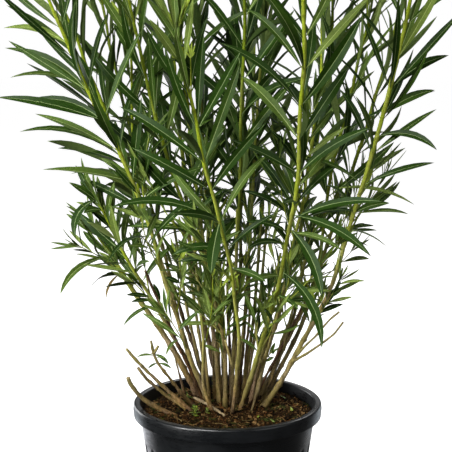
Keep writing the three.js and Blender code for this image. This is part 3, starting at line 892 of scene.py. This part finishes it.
# Single leaves that stand out, by cane: height of the foot, tip in millimetres, how far they arch over
# in degrees, width and shade.
LONE_LEAVES = {
    "front_left": [
        (0.597, (-176, -190, 628), 58, 15, 1), (0.600, (-25, -205, 528), 12, 20, 1),
        (0.522, (60, -140, 504), 30, 12, 2), (0.535, (-79, -130, 534), 24, 11, 0)],
    "front_right": [
        (0.583, (145, -175, 485), 36, 18, 1), (0.508, (144, -190, 410), 50, 16, 1),
        (0.604, (214, -215, 558), 34, 16, 1), (0.595, (236, -190, 637), 34, 14, 1),
        (0.553, (31, -150, 558), 50, 12, 1), (0.500, (29, -120, 496), 30, 12, 3),
        (0.466, (113, -110, 452), 30, 9, 2)],
    "left_front": [
        (0.793, (-352, -60, 864), 46, 16, 2), (0.870, (-353, -60, 895), 40, 13, 4),
        (0.746, (-319, -60, 781), 58, 15, 1), (0.490, (-79, -20, 477), 16, 9, 1)],
    "left_side": [
        (0.672, (-345, 20, 725), 60, 12, 2), (0.780, (-355, 0, 815), 60, 10, 3),
        (0.600, (-284, 20, 661), 60, 11, 4)],
    "right_front": [
        (0.725, (324, -120, 708), 74, 13, 1), (0.800, (346, -80, 853), 36, 16, 1),
        (0.760, (329, -60, 798), 30, 15, 2), (0.600, (261, -60, 617), 30, 12, 2),
        (0.455, (190, -40, 473), 10, 12, 1), (0.425, (191, -40, 446), 24, 9, 1)],
    "right": [(0.624, (311, 0, 605), 50, 7, 4)],
    "left_low": [
        (0.507, (-275, -40, 462), 60, 13, 3), (0.478, (-207, 30, 439), 60, 5, WITHERED),
        (0.470, (-207, 40, 482), 24, 7, 1)],
    "left_low_front": [
        (0.620, (-245, -60, 560), 100, 14, 1), (0.600, (-232, -60, 600), 62, 12, 2),
        (0.432, (-176, 0, 399), 50, 7, 2), (0.447, (-169, -15, 456), 16, 9, 1),
        (0.440, (-161, -15, 444), 24, 8, 1)],
    "dead_left": [(0.440, (-124, -10, 475), 16, 9, 1)],
    "stump_upper": [
        (0.346, (-154, 0, 345), 50, 4.6, 3), (0.334, (-135, 0, 325), 30, 4.2, 2),
        (0.349, (-100, 0, 333), 50, 6.5, 2), (0.333, (-95, 0, 325), 46, 5.0, 2),
        (0.342, (-104, -10, 347), 30, 2.6, 3)],
}
VIEWED = unit(np.array([0, -0.85, 0.5]))     # the way their upper sides face
CURL = 0.2
for name, rows in LONE_LEAVES.items():
    for height, tip, bend, width, shade in rows:
        base = lines[name].at_height(height)
        chord = np.array(tip) * MM - base
        ahead = unit(chord)
        upper = unit(VIEWED - ahead * (VIEWED @ ahead))
        sweep = -copysign(radians(bend), chord[0])
        start = turn(ahead, upper, np.array(-sweep / 2))
        start = turn(start, np.cross(ahead, upper), np.array(0.43 * CURL))
        length = norm(chord) * (sweep / 2) / sin(sweep / 2)
        sprays["front"].add(base, start, upper, length, width * MM, CURL, sweep, 0.15, radians(14), shade)

# Flower buds on a thin stalk from the front left shoot, in millimetres.
BUD_STALK_TOP = (-53, -252, 852)
BUD_TIPS = [(-60, -252, 862), (-56, -252, 873), (-51, -252, 876), (-46, -252, 872), (-47, -252, 861)]
BUD_WIDTH = 2.9 * MM
stalk = through([lines["front_left"].at_height(0.79) / MM, BUD_STALK_TOP], 0.9, 0.7)
add_twig(stalk, 0.95, 980)
for tip in BUD_TIPS:
    bud = np.array(tip) * MM - stalk.points[-1]
    sprays["front"].add(stalk.points[-1], bud, VIEWED, norm(bud), BUD_WIDTH, 0, 0, 0, 0.3, PALEST)

# Bare twigs of the canes: radius, greenness, and points in millimetres.
BARE_TWIGS = [
    (2.1, 0.28, (108, -12, 340), (134, -28, 360), (157, -40, 380), (176, -46, 397), (190, -50, 418)),
    (2.1, 0.28, (115, -14, 351), (130, -20, 370), (147, -28, 389), (158, -36, 406), (169, -42, 421),
     (184, -44, 434)),
    (3.2, 0.15, (-66, -8, 254), (-84, -9, 268), (-103, -12, 281), (-119, -16, 296), (-136, -18, 312),
     (-145, -18, 324), (-151, -16, 332)),
    (2.1, 0.28, (96, 25, 350), (100, 20, 372), (106, 18, 398)),
    (2.1, 0.28, (8, -75, 352), (2, -78, 372), (-4, -80, 396)),
    (2.1, 0.28, (-126, 4, 350), (-121, 4, 357), (-117, 4, 364)),
]
for seed, (radius, green, *stops) in enumerate(BARE_TWIGS):
    add_twig(through(stops, radius, radius * 0.8), green, 950 + seed, cut=True)

on_root(make_piece("side_shoots", join(twigs), [bark, cut_wood]), "bark")
for side, spray in sprays.items():
    piece = make_piece(f"leaves_{side}", spray.mesh(), leaf_materials)
    on_root(piece, "young_foliage" if side == "short" else "foliage", *replaced[side])

# ---- pot

FLUTES = 24
FLUTE_DEPTH = 2.7 * MM
POT_BASE = 0.114                 # radius of the wall at its foot
WALL_TOP = 0.148                 # and under the rim
RIM_FOOT = POT_HEIGHT - 0.023
WALL_THICKNESS = 3.5 * MM
POT_FLOOR = 5 * MM


def outer(z):
    return POT_BASE + (WALL_TOP - POT_BASE) / RIM_FOOT * z


def inner(z):
    return outer(z) - WALL_THICKNESS


def arc(r, z, size, start, end, count):
    """Points of a rounded edge of a profile, between two angles in degrees."""
    return [(r + size * cos(t), z + size * sin(t))
            for t in np.linspace(radians(start), radians(end), count)]


def pot_mesh():
    """The pot's wall, rim and inside as one turned shell with flutes pressed into the wall."""
    profile = [(0, 0), (0.06, 0), (POT_BASE - 4 * MM, 0)]
    profile += arc(POT_BASE - 2.5 * MM, 2.5 * MM, 2.5 * MM, -90, 0, 5)
    profile += [(outer(z), z) for z in np.linspace(5 * MM, RIM_FOOT - 3 * MM, 60)]
    fluted = len(profile)
    profile += arc(WALL_TOP + 2 * MM, RIM_FOOT - 2 * MM, 2 * MM, 180, 90, 4)
    profile += [(RIM_RADIUS - 4 * MM, RIM_FOOT)]
    profile += arc(RIM_RADIUS - 2.2 * MM, RIM_FOOT + 1.2 * MM, 1.2 * MM, -90, 0, 4)
    profile += [(RIM_RADIUS - 0.9 * MM * (1 - k), RIM_FOOT + (2.5 + 10 * k) * MM) for k in (0, 0.5, 1)]
    profile += arc(RIM_RADIUS - 4.6 * MM, POT_HEIGHT - 4 * MM, 4 * MM, 0, 90, 8)
    profile += arc(inner(POT_HEIGHT) + 3 * MM, POT_HEIGHT - 3 * MM, 3 * MM, 90, 180, 6)
    profile += [(inner(z), z) for z in np.linspace(POT_HEIGHT - 12 * MM, POT_FLOOR, 12)]
    profile = np.array([*profile, (0, POT_FLOOR)])
    columns = FLUTES * 12
    angles = np.linspace(0, TAU, columns, endpoint=False)
    radius = np.repeat(profile[:, :1], columns, 1)
    height = np.repeat(profile[:, 1:], columns, 1)
    outside = np.arange(len(profile)) < fluted
    window = smooth((height - 12 * MM) / (8 * MM)) * smooth((0.207 - height) / (8 * MM))
    groove = smooth((np.cos(FLUTES * angles)[None] - 0.42) / 0.34)
    radius = np.where(outside[:, None] & (radius > 0.1), radius - FLUTE_DEPTH * window * groove, radius)
    points = np.stack([radius * np.cos(angles), radius * np.sin(angles), height], -1)
    return Mesh(points.reshape(-1, 3), grid_faces(len(profile), columns))


on_root(make_piece("nursery_pot", pot_mesh(), [plastic_material()]), "pot_plastic", "pot")

# ---- soil and what lies on it

SOIL_FLOOR = 30 * MM             # height of the underside of the soil
SQUARE = ((-1, -1), (1, -1), (1, 1), (-1, 1))
CHIP = np.array([(x, y, z) for z in (-1, 1) for x, y in SQUARE], float)
CHIP_FACES = np.array([[0, 3, 2, 1], [4, 5, 6, 7], [0, 1, 5, 4], [1, 2, 6, 5], [2, 3, 7, 6], [3, 0, 4, 7]])


def soil_height(x, y):
    """Height of the crumbly surface: low at the wall, heaped a little round the canes."""
    radius = np.hypot(x, y)
    place = np.stack([x, y, x * 0], -1)
    heap = 3.0 * MM * np.exp(-((np.hypot(x, y - 0.03) / 0.06) ** 2))
    rough = 1.8 * MM * wobble(place, 34 * MM, 5) + 1.3 * MM * wobble(place, 12 * MM, 6)
    return SOIL_TOP - 0.5 * MM + heap - 2 * MM * smooth((radius - 0.12) / 0.025) + rough


def soil_mesh():
    """The soil: a crumbly top, a wall just inside the pot's, and a flat floor."""
    columns, rows = 180, 64
    angles = np.linspace(0, TAU, columns, endpoint=False)
    r, a = np.meshgrid(np.linspace(1 * MM, SOIL_RADIUS, rows), angles, indexing="ij")
    x, y = r * np.cos(a), r * np.sin(a)
    crumbs = default_rng(8).normal(size=x.shape).clip(-1.6, 1.6)
    z = soil_height(x, y) + 0.9 * MM * crumbs * (r > 4 * MM)
    top = np.stack([x, y, z], -1).reshape(-1, 3)
    shrink = (inner(SOIL_FLOOR) - 2 * MM) / SOIL_RADIUS
    deep = np.stack([x[-1] * shrink, y[-1] * shrink, np.full(columns, SOIL_FLOOR)], -1)
    points = np.vstack([top, deep, [[0, 0, SOIL_FLOOR]]])
    k = np.arange(columns)
    nxt = (k + 1) % columns
    last = rows * columns
    underside = fan(last + k, last + nxt, len(points) - 1)
    middle = fan(nxt, k, 0)[1:-1]
    return Mesh(points, np.vstack([grid_faces(rows + 1, columns), underside, middle]))


def scatter_chips(count, lengths, thin, seed):
    """Crumbs and fibres strewn on the soil, each a small uneven block in one of the crumb colours."""
    rng = default_rng(seed)
    radius = (SOIL_RADIUS - 5 * MM) * np.sqrt(rng.random(count))
    angle = rng.uniform(0, TAU, count)
    x, y = radius * np.cos(angle), radius * np.sin(angle)
    size = rng.uniform(*lengths, count)
    half = np.stack([size, size * rng.uniform(*thin, count), size * rng.uniform(*thin, count)], -1) / 2
    shape = CHIP * half[:, None] * rng.uniform(0.55, 1.0, (count, 8, 3))
    heading = rng.uniform(0, TAU, count)
    forward = unit(np.stack([np.cos(heading), np.sin(heading), rng.normal(0, 0.3, count)], -1))
    side = unit(np.cross(forward, unit(UP + rng.normal(0, 0.25, (count, 3)))))
    upper = np.cross(side, forward)
    centre = np.stack([x, y, soil_height(x, y) + half[:, 2] * 0.7], -1)
    points = centre[:, None] + shape @ np.stack([forward, side, upper], 1)
    faces = (CHIP_FACES + 8 * np.arange(count)[:, None, None]).reshape(-1, 4)
    return Mesh(points.reshape(-1, 3), faces, np.repeat(rng.integers(0, 4, count), 6))


crumb_materials = [
    new_material("crumb_dark", (0.0045, 0.0028, 0.0012), 0.95, 0.05)[0],
    new_material("crumb_brown", (0.021, 0.0115, 0.0040), 0.95, 0.05)[0],
    new_material("crumb_red", (0.066, 0.028, 0.0080), 0.9, 0.05)[0],
    new_material("crumb_tan", (0.150, 0.088, 0.033), 0.9, 0.05)[0],
]
# What is strewn on the soil: number, lengths, thickness as a share of the length, and seed.
STREWN = {
    "soil_crumbs": (4200, (1.2 * MM, 3.6 * MM), (0.3, 0.8), 21),
    "soil_lumps": (420, (4 * MM, 8 * MM), (0.35, 0.7), 23),
    "soil_fibres": (700, (7 * MM, 18 * MM), (0.05, 0.11), 22),
}
on_root(make_piece("potting_soil", soil_mesh(), [soil_material()]), "potting_soil", "soil")
for name, row in STREWN.items():
    on_root(make_piece(name, scatter_chips(*row), crumb_materials, flat=True), "potting_soil")

# On the soil, in millimetres: fallen leaves (foot, tip, width, shade), a pruned stick (its points)
# and weeds (place, height, number of leaves).
FALLEN_LEAVES = [
    ((49, -38), (58, -53), 5, 5), ((107, 8), (114, -17), 5, 5), ((92, 66), (106, 58), 6, 3),
    ((-59, 60), (-76, 66), 5, 3), ((-70, 98), (-84, 110), 6, 2), ((70, -58), (76, -72), 4, 4),
    ((84, 22), (88, 6), 3, WITHERED), ((24, -62), (40, -70), 4, WITHERED),
    ((-98, 10), (-118, -2), 5, WITHERED), ((-84, -52), (-70, -68), 4, WITHERED),
    ((-20, -76), (-2, -84), 4, WITHERED), ((112, 40), (122, 30), 4, WITHERED),
    ((-96, 46), (-108, 62), 5, 2), ((20, 118), (40, 122), 6, 2),
]
STICK = ((-58, 58), (-44, 31), (-25, 0), (-5, -46))
WEEDS = [((-54, -36), 23, 16), ((-34, -27), 13, 9), ((-20, 112), 26, 12), ((-70, 60), 9, 7),
         ((-102, 66), 8, 6)]


def on_soil(x, y, lift=0.0):
    x, y = np.array(x * MM), np.array(y * MM)
    return np.array([x, y, soil_height(x, y) + lift])


litter = Leaves()
rng = default_rng(61)
for foot, tip, width, shade in FALLEN_LEAVES:
    base = on_soil(*foot, 2 * MM)
    along = on_soil(*tip, 3 * MM) - base
    litter.add(base, along, UP + rng.normal(0, 0.25, 3), norm(along) * 1.1, width * MM,
               rng.normal(0, 0.3), rng.normal(0, 0.5), rng.normal(0, 0.4), 0.3, shade)
for place, height, count in WEEDS:
    for k in range(count):
        heading = k * 2.4
        out = np.array([cos(heading), sin(heading), 0])
        rise = (k + 1) / count
        base = on_soil(*place) + UP * 0.75 * height * MM * rise * rng.uniform(0.7, 1.0)
        along = out * (1.2 - 0.6 * rise) + UP * (0.3 + 0.7 * rise)
        size = height * MM * rng.uniform(0.3, 0.55)
        shade = int(rng.integers(3, 6))
        litter.add(base, along, UP - out * 0.4, size, size * 0.6, 0.5, 0.0, 0.0, 0.2, shade)
on_root(make_piece("weeds_and_fallen_leaves", litter.mesh(), leaf_materials), "young_foliage")

path = np.array([on_soil(x, y, 3 * MM) for x, y in STICK])
share = np.linspace(0, len(path) - 1, 30)
path = sampled(share, np.arange(len(path)), path)
stick_line = Line(path, np.linspace(2.7, 2.0, 30) * MM)
stick = limb_mesh(stick_line, 8, np.zeros(len(stick_line.at)), 71, flare=0.0)
on_root(make_piece("pruned_stick", stick, [cut_wood, cut_wood]), "bark")

# ---- floor, camera and light

FLOOR_HALF = 20.0
FLOOR_GLOW = 0.955               # keeps the floor an even white
floor_material, floor_tree = new_material("floor", (0.5, 0.5, 0.5), 0.9, 0.0)
floor_inputs = floor_tree.nodes[SHADER].inputs
floor_inputs["Emission Color"].default_value = (1, 1, 1, 1)
floor_inputs["Emission Strength"].default_value = FLOOR_GLOW
corners = np.array([(x, y, 0) for x, y in SQUARE]) * FLOOR_HALF
floor = make_piece("floor", Mesh(corners, [[0, 1, 2, 3]]), [floor_material])
floor.visible_diffuse = False
floor.visible_glossy = False

VIEW_PLACE = (-2.5 * MM, -2.0, 0.889)
VIEW_PITCH = 9.06                # degrees below level
LENS = 96.93

camera = bpy.data.objects.new("camera", bpy.data.cameras.new("camera"))
bpy.context.collection.objects.link(camera)
camera.location = VIEW_PLACE
camera.rotation_euler = (radians(90 - VIEW_PITCH), 0, 0)
camera.data.lens = LENS
bpy.context.scene.camera = camera


def softbox(name, location, target, size, power, spread=180, tint=(1, 1, 1)):
    light = bpy.data.lights.new(name, "AREA")
    light.shape = "SQUARE"
    light.size = size
    light.energy = power
    light.color = tint
    light.spread = radians(spread)
    lamp = bpy.data.objects.new(name, light)
    lamp.location = location
    lamp.visible_camera = False
    lamp.rotation_mode = "QUATERNION"
    lamp.rotation_quaternion = (Vector(target) - Vector(location)).to_track_quat("-Z", "Y")
    bpy.context.collection.objects.link(lamp)


SKY_TINT = (0.84, 0.93, 1.0)
softbox("key", (-1.2, -2.0, 2.6), (0, 0, 0.6), 1.2, 105)
softbox("fill", (1.9, -1.4, 1.6), (0, 0, 0.6), 1.4, 14)
softbox("back", (0.4, 2.2, 2.8), (0, 0, 0.6), 2.2, 70)
softbox("side", (-1.7, 1.6, 0.5), (0, 0, 0.4), 1.2, 22)
softbox("low", (-1.5, -1.2, 0.65), (0, 0, 0.38), 0.6, 4.7, 60)
softbox("left_sheen", (-0.62, 0.60, 0.12), (-0.1, 0, 0.2), 0.5, 0.95, tint=SKY_TINT)
softbox("right_sheen", (0.62, 0.60, 0.12), (0.1, 0, 0.2), 0.4, 0.65, tint=SKY_TINT)
softbox("left_bounce", (-0.30, 0.36, 0.01), (-0.30, 0.36, 1.0), 0.36, 0.72, tint=(0.97, 0.95, 1.0))
softbox("right_bounce", (0.30, 0.36, 0.01), (0.30, 0.36, 1.0), 0.36, 0.16)

# The world is white to the camera and gives the plant only a little light.
world = bpy.data.worlds.new("studio")
world.use_nodes = True
tree = world.node_tree
background = tree.nodes["Background"].inputs
background["Color"].default_value = (1, 1, 1, 1)
seen = add_node(tree, "LightPath").outputs["Is Camera Ray"]
tree.links.new(remapped(tree, seen, 0.0, 1.0, 0.08, 1.0), background["Strength"])
bpy.context.scene.world = world
bpy.context.scene.view_settings.view_transform = "Standard"
